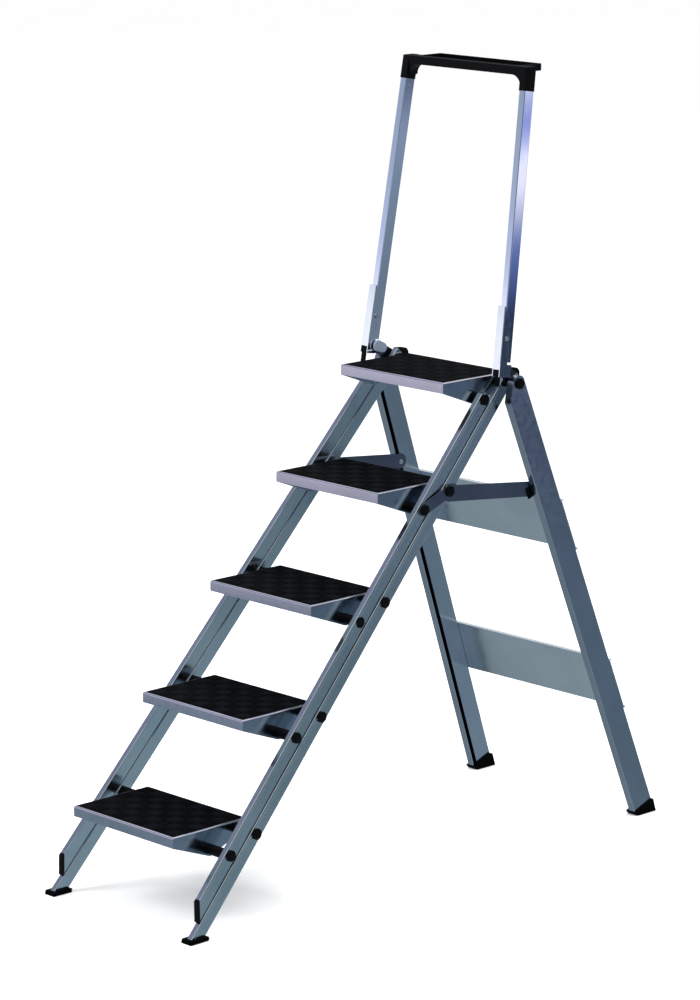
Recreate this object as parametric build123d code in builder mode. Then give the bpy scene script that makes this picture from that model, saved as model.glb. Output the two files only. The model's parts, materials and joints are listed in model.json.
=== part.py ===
"""Folding step ladder with five treads, twin stiles, folding rear legs and a tilting handrail.

Frame: millimetres, +Z up, +X to the user's right when climbing, +Y towards the rear legs.
The origin is on the floor, at the middle of the footprint.
"""

import os
from math import atan2, cos, degrees, hypot, radians, sin

from build123d import *

# ---------------------------------------------------------------- driving dimensions
STEP_COUNT = 5
RISE = 235.0            # height from one tread to the next
RUN = 217.0             # horizontal distance from one nose to the next
FIRST_TREAD_Z = 232.0   # top of the lowest tread
FIRST_NOSE_Y = -748.0   # nose of the lowest tread

TREAD_WIDTH = 351.0
TREAD_DEPTH = 230.0
NOSE_HEIGHT = 26.0
REAR_SKIRT = 16.0
NOSE_LIP = 12.0         # folded lip under the nose
RIB_DEPTH = 12.0
RIB_SPREAD = 45.0       # each rib from the middle of the tread
FRONT_EAR = 16.0        # side plate round the front pin
REAR_EAR = 15.0         # side plate round the rear pin
SHEET = 2.5             # sheet thickness of the treads and braces
RIM = 5.0               # bright rim left around each mat
MAT_RECESS = 3.0
MAT_PROUD = 0.6

FRONT_PIN = (115.0, -52.0)   # front pin from the tread's nose and top: rearward, up
REAR_PIN = (197.0, -18.0)    # rear pin, measured the same way
PIN_RADIUS = 5.0
PIN_HEAD = 3.0
PIN_FIT = 0.08               # radial running clearance of every pin
BUSH_RADIUS = 12.5
CAP_RADIUS = 13.3
CAP_HEIGHT = 6.0
LOW_CAP_HEIGHT = 1.8         # caps that the folded crank arms pass over
END_PLAY = 0.3               # side play between parts that turn on each other

STILE_DEPTH = 33.0
STILE_WIDTH = 15.5
STILE_WALL = 1.8
STILE_SPLAY = 0.045          # the stiles spread by this much per unit of height
STILE_TOP_X = 199.7          # outer face of a stile at the height of the leg pivot
REAR_STILE_END_Z = 10.0
FRONT_STILE_END_Y = 16.0     # upright cut of the front stile, from the first nose
STILE_OVERRUN = 28.0         # rear stile length past its top pin
STILE_END = (1094.0, 1169.5) # round end of the rear stile's cap: y from the first nose, z
STILE_END_RADIUS = 14.5

STILE_CAP = 4.5              # thickness of the front stile's lower plug
GROOVE_INSET = 7.0           # decorative groove, from the stile's front edge
GROOVE_WIDTH = 1.4
GROOVE_DEPTH = 0.6
FRONT_FOOT_WIDTH = 35.0

LEG_ANGLE = 69.4             # slope of an open rear leg from the floor, degrees
LEG_WIDTH = 20.0
LEG_WALL = 2.0
LEG_FRONT = -46.0            # front face of a leg, across the leg from the pivot
LEG_REAR = 20.0              # rear face of a leg, across the leg from the pivot
LEG_PIVOT_X = 239.2          # outer face of a leg at the pivot
LEG_SPLAY = 0.0455           # outward lean of a leg per unit of its length
LEG_LENGTH = 1205.0          # pivot to cut end
LEG_SHOULDER = 32.0          # where the straight front face starts, below the pivot
SLOT_WIDTH = 12.0            # guide slot in the inner face, next to the front wall
SLOT_START = 46.0            # upper end of the slot, down the leg from the pivot

ARM_LENGTH = 282.2           # rear pin of the fourth tread to the guide stud
ARM_ANGLE = -7.5             # slope of the open arm, degrees
ARM_SHEET = 2.5
ARM_EAR = 14.5               # arm plate round its two pins
ARM_DROP = 12.0              # the arm is deeper below its rear pin
ARM_TIP_RADIUS = 18.5
STUD_RADIUS = 3.6
STUD_HEAD = 6.5
STUD_DOWN = 276.6            # place of the stud down the open leg
STUD_CLEARANCE = 0.9         # stud end to the leg's outer wall
GUIDE_BLOCK = (30.0, 38.0, 1.0)   # along the leg, across it, thickness
BLOCK_SHIFT = -5.0                # block centre ahead of the stud, across the leg

BRACE_HEIGHT = 140.0
BRACE_STARTS = (335.0, 794.0)  # upper edge of each brace, down the leg from the pivot
BRACE_FLANGE = 6.0
RIVET_INSET = 32.0
RIVET_RADIUS = 5.0
REAR_FOOT_WIDTH = 35.5
REAR_FOOT_LIP = 6.5

RAIL_WIDTH = 19.5
RAIL_DEPTH = 31.0
RAIL_WALL = 1.6
RAIL_LEAN = 0.1515           # rearward lean of the handrail per unit of height
RAIL_TAPER = 0.039           # each bar closes in by this much per unit of height
RAIL_FOOT = (226.2, 1020.5, 1191.0)   # bar axis at the sleeve's lower end; y from the first nose
RAIL_START_Z = 1210.0
RAIL_END_Z = 1896.0
SLEEVE_WALL = 2.0
SLEEVE_GAP = 0.4
SLEEVE_START_Z = 1192.0
SLEEVE_LENGTH = 154.0
SLEEVE_DEPTH = 25.0
PACKING = 6.0                         # black strip between a bar and its sleeve's front wall
TONGUE = (12.5, 2.5, 1152.0)          # strip's lower tongue: width, outward shift, lower end z
FOOT_DEPTH = 39.0                     # wide feet of the sleeve's flanges, round the tilt axis
FOOT_Z = (1175.0, 1205.0)
TILT_AXIS = (1026.0, 1194.0)          # handrail tilt axis: y from the first nose, z
TILT_RADIUS = 4.0
BRACKET_INNER = 205.5                 # X of the bracket's faces
BRACKET_MID = 210.6
BRACKET_OUTER = 212.8
ANCHOR_UP = 20.0                      # bracket bolt above the leg pivot, along the stile
ANCHOR_RADIUS = 3.5
BOLT_HEAD = 6.0
KNOB_FACE = 204.9                     # X of the lever knob's face towards the treads
KNOB_RADIUS = 14.2                    # round its screw
KNOB_TIP = (1044.0, 1187.0)           # end of the lever knob: y from the first nose, z
KNOB_TIP_RADIUS = 12.5
SLEEVE_SLANT = (0.9, 0.45)            # normal (y, z) of the slanted flange tops
SLEEVE_BOLT = 3.0
SLEEVE_BOLT_Z = 1268.0
SLEEVE_BOLT_AHEAD = 8.0               # ahead of the bar's axis
RAIL_RIVET_Z = (1811.0, 1836.0)
CORNER_START_Z = 1850.0
CORNER_WALL = 1.4
CORNER_WEB = 27.0                     # radius of the curved web
CORNER_END_X = 160.0
BEAM_HEIGHT = 21.0
BEAM_DEPTH = 29.0
TRAY_HEIGHT = 17.0
TRAY_RECESS = 9.0
TRAY_TOP_Z = 1908.0
TRAY_FRONT = 1112.0
TRAY_BACK = 1205.0
TRAY_HALF = 172.0

# ---------------------------------------------------------------- derived places
STILE_ANGLE = atan2(RISE, RUN)
UP_STILE = (cos(STILE_ANGLE), sin(STILE_ANGLE))          # (y, z) up the stile
OFF_STILE = (-sin(STILE_ANGLE), cos(STILE_ANGLE))        # (y, z) towards the climber
DOWN_LEG = (cos(radians(LEG_ANGLE)), -sin(radians(LEG_ANGLE)))
OFF_LEG = (-DOWN_LEG[1], DOWN_LEG[0])                    # (y, z) rearward off the leg


def rear(y):
    """Y of a place given from the nose of the first tread."""
    return y + FIRST_NOSE_Y


def tread_at(index, offset):
    """(y, z) of a point on tread index, counted from 0, from its nose and top."""
    return (rear(index * RUN + offset[0]), FIRST_TREAD_Z + index * RISE + offset[1])


REAR_PINS = [tread_at(i, REAR_PIN) for i in range(STEP_COUNT)]
FRONT_PINS = [tread_at(i, FRONT_PIN) for i in range(STEP_COUNT)]
PIVOT = REAR_PINS[-1]
ARM_STEP = STEP_COUNT - 2      # the tread that carries the crank arms
STUD = (REAR_PINS[ARM_STEP][0] + ARM_LENGTH * cos(radians(ARM_ANGLE)),
        REAR_PINS[ARM_STEP][1] + ARM_LENGTH * sin(radians(ARM_ANGLE)))
TILT = (rear(TILT_AXIS[0]), TILT_AXIS[1])


def stile_x(z):
    """Outer face of a stile at height z."""
    return STILE_TOP_X + STILE_SPLAY * (PIVOT[1] - z)


def moved(point, along, direction):
    """A (y, z) point moved along a (y, z) direction."""
    return (point[0] + along * direction[0], point[1] + along * direction[1])


def leg_point(down, across):
    """(y, z) of a point on a leg from the pivot: down the leg and rearward across it."""
    return moved(moved(PIVOT, down, DOWN_LEG), across, OFF_LEG)


def stile_plane(pin):
    """Section plane of the right stile through a pin, on its outer face.

    Local x points to the climber, local y outward, local z up the stile.
    """
    axis = Vector(-STILE_SPLAY * UP_STILE[1], *UP_STILE)
    return Plane(origin=(stile_x(pin[1]), *pin), x_dir=(0, *OFF_STILE), z_dir=axis)


def face_plane(pin, lift=0.0):
    """Plane on the right stile's outer face at a pin, with local z outward."""
    section = stile_plane(pin)
    origin = section.origin + section.y_dir * lift
    return Plane(origin=origin, x_dir=(0, *OFF_STILE), z_dir=section.y_dir)


LEG_AXIS = Vector(LEG_SPLAY, *DOWN_LEG)
LEG_PLANE = Plane(origin=(LEG_PIVOT_X, *PIVOT), x_dir=(0, *OFF_LEG), z_dir=LEG_AXIS)
RAIL_AXIS = Vector(-RAIL_TAPER, RAIL_LEAN, 1.0)
ARM_ROOT_X = stile_x(FRONT_PINS[ARM_STEP][1]) + 1.4   # inner face at the front pin
ARM_TIP_X = 226.8                                     # inner face at the guide stud


def rail_centre(z):
    """Axis point of the right handrail bar at height z."""
    step = z - RAIL_FOOT[2]
    x = RAIL_FOOT[0] - RAIL_TAPER * step
    return Vector(x, rear(RAIL_FOOT[1]) + RAIL_LEAN * step, z)


def rail_plane(z):
    """Section plane of the right handrail bar: local x outward, local y rearward."""
    return Plane(origin=rail_centre(z), x_dir=(1, 0, RAIL_TAPER), z_dir=RAIL_AXIS)


def arm_plane(lift=0.0):
    """Plane of the right crank arm's inner face, with local z outward.

    The arm leans away from the splayed stiles, from its front pin to the guide stud.
    """
    start = Vector(ARM_ROOT_X, *FRONT_PINS[ARM_STEP])
    along = Vector(ARM_TIP_X, *STUD) - start
    out = Vector(1.0, -along.X / along.length, 0).normalized()
    out = (out - along.normalized() * out.dot(along.normalized())).normalized()
    return Plane(origin=start + out * lift, x_dir=along, z_dir=out)


PARTS = {}


def keep(name, part):
    """Label a finished piece and remember it for writing."""
    part.label = name
    PARTS[name] = part


def mirrored(part):
    """The same piece for the left side."""
    with BuildPart() as other:
        mirror(part, about=Plane.YZ)
    return other.part


def grouped(solids):
    """Separate solids joined into one group."""
    with BuildPart() as group:
        add(solids)
    return group.part


def keep_pair(name, part):
    """Keep a right-hand piece and its left-hand mirror as two nodes."""
    keep(f"{name}_right", part)
    keep(f"{name}_left", mirrored(part))


def keep_both_sides(name, solids):
    """Keep right-hand solids and their mirror images as one node."""
    keep(name, grouped(solids + [mirrored(solid) for solid in solids]))


def disc(point, start_x, end_x, radius, bore=0.0):
    """Round solid along X at a (y, z) point, with an optional bore."""
    with BuildPart() as solid:
        with BuildSketch(Plane.YZ.offset(start_x)):
            with Locations(point):
                Circle(radius)
                if bore:
                    Circle(bore, mode=Mode.SUBTRACT)
        extrude(amount=end_x - start_x)
    return solid.part


def hull_plate(circles, start_x, end_x, corners=()):
    """Flat plate along X whose outline is stretched round circles and corner points.

    circles is a list of ((y, z), radius); corners is a list of (y, z).
    """
    with BuildPart() as plate:
        with BuildSketch(Plane.YZ.offset(start_x)):
            with BuildLine():
                for centre, radius in circles:
                    CenterArc(centre, radius, 0, 360)
                if corners:
                    Polyline(*corners, close=True)
            make_hull()
        extrude(amount=end_x - start_x)
    return plate.part


# ---------------------------------------------------------------- stiles
def make_stile(pins, end_cut, top):
    """Right-hand stile: a grooved tube through a row of pins, cut by a plane at its foot.

    top is the outline, from the top pin down, that shapes its upper end.
    """
    length = hypot(pins[-1][0] - pins[0][0], pins[-1][1]) / UP_STILE[1]
    with BuildPart() as stile:
        with BuildSketch(stile_plane(pins[-1]).offset(-length)):
            with Locations((0, -STILE_WIDTH / 2)):
                RectangleRounded(STILE_DEPTH, STILE_WIDTH, 2.0)
                RectangleRounded(STILE_DEPTH - 2 * STILE_WALL, STILE_WIDTH - 2 * STILE_WALL,
                                 1.0, mode=Mode.SUBTRACT)
            with Locations((STILE_DEPTH / 2 - GROOVE_INSET, 0)):
                Rectangle(GROOVE_WIDTH, 2 * GROOVE_DEPTH, mode=Mode.SUBTRACT)
        extrude(amount=length + STILE_OVERRUN)
        split(bisect_by=end_cut, keep=Keep.TOP)
        add(top, mode=Mode.INTERSECT)
        with BuildSketch(Plane.YZ):
            with Locations(*pins):
                Circle(PIN_RADIUS + PIN_FIT)
        extrude(amount=2 * STILE_TOP_X, mode=Mode.SUBTRACT)
    return stile.part


def stile_outline(pin, end, radius):
    """Long plate down a stile from its top pin, with a square end or a round one."""
    half = STILE_DEPTH / 2 + 1.0
    far = -STILE_OVERRUN - hypot(STEP_COUNT * RISE, STEP_COUNT * RUN)
    corners = [moved(moved(pin, along, UP_STILE), off, OFF_STILE)
               for along, off in ((end, half), (end, -half), (far, -half), (far, half))]
    circles = [(pin, radius)] if radius else []
    return hull_plate(circles, 0, 2 * STILE_TOP_X, corners)


def make_stiles():
    """The rear stiles stand on the floor; the front stiles hang on the treads."""
    floor_cut = Plane(origin=(0, 0, REAR_STILE_END_Z), z_dir=(0, 0, 1))
    square_top = stile_outline(PIVOT, STILE_OVERRUN, 0)
    keep_pair("rear_stile", make_stile(REAR_PINS, floor_cut, square_top))
    upright_cut = Plane(origin=(0, rear(FRONT_STILE_END_Y), 0), z_dir=(0, 1, 0))
    round_top = stile_outline(FRONT_PINS[-1], 0, STILE_DEPTH / 2 + 1.0)
    keep_pair("front_stile", make_stile(FRONT_PINS, upright_cut, round_top))


def make_rear_stile_caps():
    """Black plug over the upper end of each rear stile, round at the back."""
    section = stile_plane(PIVOT)
    half = STILE_DEPTH / 2
    corners = [moved(moved(PIVOT, STILE_OVERRUN, UP_STILE), off, OFF_STILE)
               for off in (half, -half)]
    end = (rear(STILE_END[0]), STILE_END[1])
    outline = hull_plate([(end, STILE_END_RADIUS)], 0, 2 * STILE_TOP_X, corners)
    with BuildPart() as cap:
        with BuildSketch(section):
            with Locations((0, -STILE_WIDTH / 2)):
                Rectangle(2 * STILE_DEPTH, STILE_WIDTH)
        extrude(amount=2 * STILE_DEPTH)
        add(outline, mode=Mode.INTERSECT)
        split(bisect_by=section.offset(STILE_OVERRUN), keep=Keep.TOP)
    keep_both_sides("rear_stile_caps", [cap.part])


def make_front_stile_caps():
    """Black plug on the upright lower end of each front stile."""
    y = rear(FRONT_STILE_END_Y)
    with BuildPart() as cap:
        with BuildSketch(stile_plane(FRONT_PINS[0]).offset(-RISE)):
            with Locations((0, -STILE_WIDTH / 2)):
                RectangleRounded(STILE_DEPTH + 0.8, STILE_WIDTH + 0.8, 2.2)
        extrude(amount=RISE)
        split(bisect_by=Plane(origin=(0, y, 0), z_dir=(0, -1, 0)), keep=Keep.TOP)
        split(bisect_by=Plane(origin=(0, y - STILE_CAP, 0), z_dir=(0, 1, 0)), keep=Keep.TOP)
    keep_pair("front_stile_cap", cap.part)


def make_front_feet():
    """Black pad under each rear stile, wider than the stile, tapering towards the floor."""
    drop = (REAR_PINS[0][1] - REAR_STILE_END_Z) / UP_STILE[1]
    stile_end = moved(REAR_PINS[0], -drop, UP_STILE)
    half = STILE_DEPTH / 2 / UP_STILE[1]
    middle_x = stile_x(REAR_STILE_END_Z) - STILE_WIDTH / 2
    front = stile_end[0] - half - 10.0
    back = stile_end[0] + half + 1.0
    with BuildPart() as foot:
        with BuildSketch(Plane.YZ.offset(middle_x - FRONT_FOOT_WIDTH / 2)):
            with BuildLine():
                Polyline((front, 0), (back, 0), (back + 1.0, REAR_STILE_END_Z),
                         (front + 3.0, REAR_STILE_END_Z), close=True)
            make_face()
        extrude(amount=FRONT_FOOT_WIDTH)
        fillet(foot.edges().filter_by(Axis.X).group_by(Axis.Z)[-1], 2.0)
    keep_pair("front_foot", foot.part)


# ---------------------------------------------------------------- pins, bushes and caps
def make_pin(pin, tip_x):
    """Steel pin with a flat head inside the tread's side plate."""
    head_x = TREAD_WIDTH / 2 - SHEET - END_PLAY
    with BuildPart() as solid:
        with BuildSketch(Plane.YZ.offset(head_x - PIN_HEAD)):
            with Locations(pin):
                Circle(PIN_RADIUS + 3.5)
        extrude(amount=PIN_HEAD)
        with BuildSketch(Plane.YZ.offset(head_x)):
            with Locations(pin):
                Circle(PIN_RADIUS)
        extrude(amount=tip_x - head_x)
    return solid.part


def make_bush(pin):
    """Black spacer between a tread's side and the splayed stile beside it."""
    with BuildPart() as bush:
        with BuildSketch(Plane.YZ.offset(TREAD_WIDTH / 2 + END_PLAY)):
            with Locations(pin):
                Circle(BUSH_RADIUS)
                Circle(PIN_RADIUS + PIN_FIT, mode=Mode.SUBTRACT)
        extrude(amount=TREAD_WIDTH / 2)
        split(bisect_by=face_plane(pin, -STILE_WIDTH), keep=Keep.BOTTOM)
    return bush.part


def make_cap(plane, height=CAP_HEIGHT):
    """Round black cap with a bevelled edge, standing on a plane."""
    with BuildPart() as cap:
        with BuildSketch(plane):
            Circle(CAP_RADIUS)
        extrude(amount=height)
        chamfer(cap.faces().sort_by(SortBy.DISTANCE, reverse=True)[0].edges(), 0.6)
    return cap.part


def arm_face(pin):
    """Plane on the right crank arm's outer face at a pin, with local z outward."""
    plane = arm_plane(ARM_SHEET)
    reach = (plane.origin.X * plane.z_dir.X
             - (pin[0] - plane.origin.Y) * plane.z_dir.Y
             - (pin[1] - plane.origin.Z) * plane.z_dir.Z) / plane.z_dir.X
    return Plane(origin=(reach, *pin), x_dir=plane.x_dir, z_dir=plane.z_dir)


def make_pins():
    """Rear pins stay in the rear stiles; front pins stay in the front stiles."""
    for name, pins in (("rear_pins", REAR_PINS), ("front_pins", FRONT_PINS)):
        tips = [stile_x(pin[1]) - 0.8 for pin in pins]
        tips[ARM_STEP] = arm_face(pins[ARM_STEP]).origin.X - 0.8
        if pins is REAR_PINS:
            tips[-1] = LEG_PIVOT_X - 0.8
        keep_both_sides(name, [make_pin(pin, tip) for pin, tip in zip(pins, tips)])


def make_bushes_and_caps():
    """Spacers and pin caps, grouped by the part that they stay on."""
    keep_both_sides("rear_bushes", [make_bush(pin) for pin in REAR_PINS])
    keep_both_sides("front_bushes", [make_bush(pin) for pin in FRONT_PINS])
    rear_caps = [make_cap(face_plane(pin)) for pin in REAR_PINS[:ARM_STEP]]
    keep_both_sides("rear_pin_caps", rear_caps)
    low_pin = FRONT_PINS[ARM_STEP - 1]
    front_pins = FRONT_PINS[:ARM_STEP - 1] + FRONT_PINS[ARM_STEP + 1:]
    front_caps = [make_cap(face_plane(pin)) for pin in front_pins]
    front_caps.append(make_cap(face_plane(low_pin), LOW_CAP_HEIGHT))
    keep_both_sides("front_pin_caps", front_caps)
    arm_pins = (FRONT_PINS[ARM_STEP], REAR_PINS[ARM_STEP])
    keep_both_sides("arm_pin_caps", [make_cap(arm_face(pin)) for pin in arm_pins])
    outer = Plane(origin=LEG_PLANE.origin, x_dir=LEG_PLANE.x_dir, z_dir=LEG_PLANE.y_dir)
    keep_both_sides("leg_pivot_caps", [make_cap(outer)])


# ---------------------------------------------------------------- treads
def side_plate_outline(index):
    """Side plate of a tread: deepest round the front pin, tapering to the nose and back."""
    corners = [tread_at(index, place) for place in
               ((0, 0), (0, -NOSE_HEIGHT), (TREAD_DEPTH, -REAR_SKIRT), (TREAD_DEPTH, 0))]
    with BuildSketch() as outline:
        with BuildLine():
            CenterArc(tread_at(index, FRONT_PIN), FRONT_EAR, 0, 360)
            CenterArc(tread_at(index, REAR_PIN), REAR_EAR, 0, 360)
            Polyline(*corners, close=True)
        make_hull()
        with Locations(tread_at(index, FRONT_PIN), tread_at(index, REAR_PIN)):
            Circle(PIN_RADIUS + PIN_FIT, mode=Mode.SUBTRACT)
    return outline.sketch_local


def make_tread(index):
    """Folded sheet tread: recessed top, nose, rear skirt, two side plates and two ribs."""
    nose = tread_at(index, (0, 0))
    middle_y = nose[0] + TREAD_DEPTH / 2
    deck = nose[1] - MAT_RECESS - SHEET
    inner = TREAD_WIDTH - 2 * SHEET
    side = side_plate_outline(index)
    with BuildPart() as tread:
        for side_x in (-TREAD_WIDTH / 2, TREAD_WIDTH / 2 - SHEET):
            with BuildSketch(Plane.YZ.offset(side_x)):
                add(side)
            extrude(amount=SHEET)
        with BuildSketch(Plane.XY.offset(deck)):
            with Locations((0, middle_y)):
                Rectangle(inner, TREAD_DEPTH)
        extrude(amount=SHEET)
        with BuildSketch(Plane.XY.offset(nose[1] - MAT_RECESS)):
            with Locations((0, middle_y)):
                Rectangle(TREAD_WIDTH, TREAD_DEPTH)
                Rectangle(TREAD_WIDTH - 2 * RIM, TREAD_DEPTH - 2 * RIM, mode=Mode.SUBTRACT)
        extrude(amount=MAT_RECESS)
        for y, height in ((nose[0], NOSE_HEIGHT), (nose[0] + TREAD_DEPTH - SHEET, REAR_SKIRT)):
            with BuildSketch(Plane.XY.offset(nose[1] - height)):
                with Locations((0, y + SHEET / 2)):
                    Rectangle(inner, SHEET)
            extrude(amount=height - MAT_RECESS)
        with BuildSketch(Plane.XY.offset(nose[1] - NOSE_HEIGHT)):
            with Locations((0, nose[0] + NOSE_LIP / 2)):
                Rectangle(inner, NOSE_LIP)
        extrude(amount=SHEET)
        with BuildSketch(Plane.XY.offset(deck - RIB_DEPTH)):
            with Locations((0, middle_y - RIB_SPREAD), (0, middle_y + RIB_SPREAD)):
                Rectangle(inner, SHEET)
        extrude(amount=RIB_DEPTH)
    keep(f"tread_{index + 1}", tread.part)


def make_mat(index):
    """Black mat lying in the recess of a tread, a little proud of the rim."""
    nose = tread_at(index, (0, 0))
    with BuildPart() as mat:
        with BuildSketch(Plane.XY.offset(nose[1] - MAT_RECESS)):
            with Locations((0, nose[0] + TREAD_DEPTH / 2)):
                Rectangle(TREAD_WIDTH - 2 * RIM - 0.6, TREAD_DEPTH - 2 * RIM - 0.6)
        extrude(amount=MAT_RECESS + MAT_PROUD)
        chamfer(mat.faces().sort_by(Axis.Z)[-1].edges(), 0.8)
    keep(f"mat_{index + 1}", mat.part)


# ---------------------------------------------------------------- crank arms and guides
def make_crank_arms():
    """Plates over the fourth tread's pins that reach back to the rear legs."""
    rear_pin = REAR_PINS[ARM_STEP]
    ears = [(FRONT_PINS[ARM_STEP], ARM_EAR), (rear_pin, ARM_EAR)]
    ear_link = hull_plate(ears, STILE_TOP_X, LEG_PIVOT_X)
    reach = [(rear_pin, ARM_EAR), (moved(rear_pin, -ARM_DROP, (0, 1)), ARM_EAR - 1.0),
             (moved(STUD, 2.0, (0, 1)), ARM_TIP_RADIUS)]
    reach_plate = hull_plate(reach, STILE_TOP_X, LEG_PIVOT_X)
    with BuildPart() as arm:
        add(ear_link)
        add(reach_plate)
        split(bisect_by=arm_plane(), keep=Keep.TOP)
        split(bisect_by=arm_plane(ARM_SHEET), keep=Keep.BOTTOM)
        with BuildSketch(Plane.YZ):
            with Locations(FRONT_PINS[ARM_STEP], rear_pin):
                Circle(PIN_RADIUS + PIN_FIT)
            with Locations(STUD):
                Circle(STUD_RADIUS)
        extrude(amount=LEG_PIVOT_X, mode=Mode.SUBTRACT)
    keep_pair("crank_arm", arm.part)


def make_arm_bushes():
    """Black spacer between each rear stile and the crank arm over it."""
    pin = REAR_PINS[ARM_STEP]
    ring = disc(pin, STILE_TOP_X, LEG_PIVOT_X, BUSH_RADIUS - 2.0, PIN_RADIUS + PIN_FIT)
    with BuildPart() as bush:
        add(ring)
        split(bisect_by=face_plane(pin, END_PLAY), keep=Keep.TOP)
        split(bisect_by=arm_plane(-1.2), keep=Keep.BOTTOM)
    keep_both_sides("arm_bushes", [bush.part])


def make_guides():
    """Rivet through the arm's end that slides in the leg's slot, and its black block."""
    tip_x = LEG_PIVOT_X + LEG_SPLAY * STUD_DOWN - LEG_WALL - STUD_CLEARANCE
    inner_face = arm_plane()
    length, width, thickness = GUIDE_BLOCK
    stud_face = arm_face(STUD)
    head = Plane(origin=stud_face.origin - stud_face.z_dir * ARM_SHEET,
                 x_dir=stud_face.x_dir, z_dir=-stud_face.z_dir)
    shank = disc(STUD, STILE_TOP_X, tip_x, STUD_RADIUS)
    with BuildPart() as stud:
        add(shank)
        split(bisect_by=inner_face, keep=Keep.TOP)
        with BuildSketch(head):
            Circle(STUD_HEAD)
        extrude(amount=2.0, taper=25)
    keep_both_sides("guide_studs", [stud.part])
    with BuildPart() as block:
        with BuildSketch(Plane(origin=stud_face.origin, x_dir=(0, *DOWN_LEG),
                               z_dir=stud_face.z_dir)):
            with Locations((0, BLOCK_SHIFT)):
                RectangleRounded(length, width, 4.0)
            Circle(STUD_RADIUS + 0.3, mode=Mode.SUBTRACT)
        extrude(amount=thickness)
    keep_both_sides("guide_blocks", [block.part])


# ---------------------------------------------------------------- rear legs
def leg_solid(inset):
    """Right-hand leg as a solid bar, smaller by inset, straight-cut below, round at the top."""
    front = LEG_FRONT + inset
    back = LEG_REAR - inset
    outline = hull_plate([(PIVOT, back)], STILE_TOP_X, 2 * STILE_TOP_X,
                         [leg_point(LEG_SHOULDER + inset / 2, front),
                          leg_point(LEG_LENGTH + inset, front),
                          leg_point(LEG_LENGTH + inset, back)])
    with BuildPart() as bar:
        with BuildSketch(LEG_PLANE.offset(-2 * LEG_REAR)):
            with Locations(((front + back) / 2, -LEG_WIDTH / 2)):
                RectangleRounded(back - front, LEG_WIDTH - 2 * inset, 2.0 - inset / 2)
        extrude(amount=LEG_LENGTH + 4 * LEG_REAR)
        add(outline, mode=Mode.INTERSECT)
    return bar.part


def make_leg():
    """Right-hand rear leg: a tube closed over its round top, with a slot in its inner face."""
    slot_middle = LEG_FRONT + LEG_WALL + SLOT_WIDTH / 2
    body = leg_solid(0)
    core = leg_solid(LEG_WALL)
    bore = disc(PIVOT, STILE_TOP_X, 2 * STILE_TOP_X, PIN_RADIUS + PIN_FIT)
    with BuildPart() as leg:
        add(body)
        add([core, bore], mode=Mode.SUBTRACT)
        with BuildSketch(LEG_PLANE.offset(SLOT_START)):
            with Locations((slot_middle, -LEG_WIDTH + LEG_WALL / 2)):
                Rectangle(SLOT_WIDTH, 2 * LEG_WALL)
        extrude(amount=LEG_LENGTH, mode=Mode.SUBTRACT)
    keep_pair("rear_leg", leg.part)


def floor_y(point):
    """Y where the leg's direction through a point meets the floor."""
    return point[0] - point[1] * DOWN_LEG[0] / DOWN_LEG[1]


def make_rear_feet():
    """Black wedge from the square-cut leg end down to the floor, wider than the leg."""
    front = leg_point(LEG_LENGTH, LEG_FRONT - 2.0)
    back = leg_point(LEG_LENGTH, LEG_REAR + 2.0)
    outer_x = LEG_PIVOT_X + LEG_SPLAY * LEG_LENGTH + REAR_FOOT_LIP
    with BuildPart() as foot:
        with BuildSketch(Plane.YZ.offset(outer_x - REAR_FOOT_WIDTH)):
            with BuildLine():
                Polyline(front, back, (floor_y(back) - 2.0, 0), (floor_y(front) + 4.0, 0),
                         close=True)
            make_face()
        extrude(amount=REAR_FOOT_WIDTH)
        fillet(foot.edges().filter_by(Axis.X).group_by(Axis.Z)[-1], 1.5)
    keep_pair("rear_foot", foot.part)


def leg_half_width(down):
    """Half the width over the legs' outer faces, down the legs from the pivot."""
    return LEG_PIVOT_X + LEG_SPLAY * down


def brace_plane(lift=0.0):
    """Plane on the rear faces of the legs: local x is X, local y runs down the legs."""
    return Plane(origin=(0, *leg_point(0, LEG_REAR + lift)), x_dir=(1, 0, 0),
                 z_dir=(0, *OFF_LEG))


def brace_strip(top, bottom):
    """Outline across both legs between two places down them."""
    with BuildSketch() as strip:
        with BuildLine():
            Polyline((-leg_half_width(top), top), (leg_half_width(top), top),
                     (leg_half_width(bottom), bottom), (-leg_half_width(bottom), bottom),
                     close=True)
        make_face()
    return strip.sketch_local


def make_brace(name, top):
    """Flanged sheet panel riveted across the rear faces of both legs."""
    bottom = top + BRACE_HEIGHT
    panel = brace_strip(top, bottom)
    flanges = [brace_strip(top, top + SHEET), brace_strip(bottom - SHEET, bottom)]
    with BuildPart() as brace:
        with BuildSketch(brace_plane()):
            add(panel)
        extrude(amount=SHEET)
        with BuildSketch(brace_plane(SHEET)):
            add(flanges)
        extrude(amount=BRACE_FLANGE)
    keep(name, brace.part)


def make_brace_rivets():
    """Two domed rivets through each end of each brace."""
    rivets = []
    for top in BRACE_STARTS:
        for down in (top + RIVET_INSET, top + BRACE_HEIGHT - RIVET_INSET):
            with BuildPart() as rivet:
                with BuildSketch(brace_plane(SHEET)):
                    with Locations((leg_half_width(down) - LEG_WIDTH / 2, down)):
                        Circle(RIVET_RADIUS)
                extrude(amount=1.6, taper=30)
            rivets.append(rivet.part)
    keep_both_sides("brace_rivets", rivets)


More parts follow.
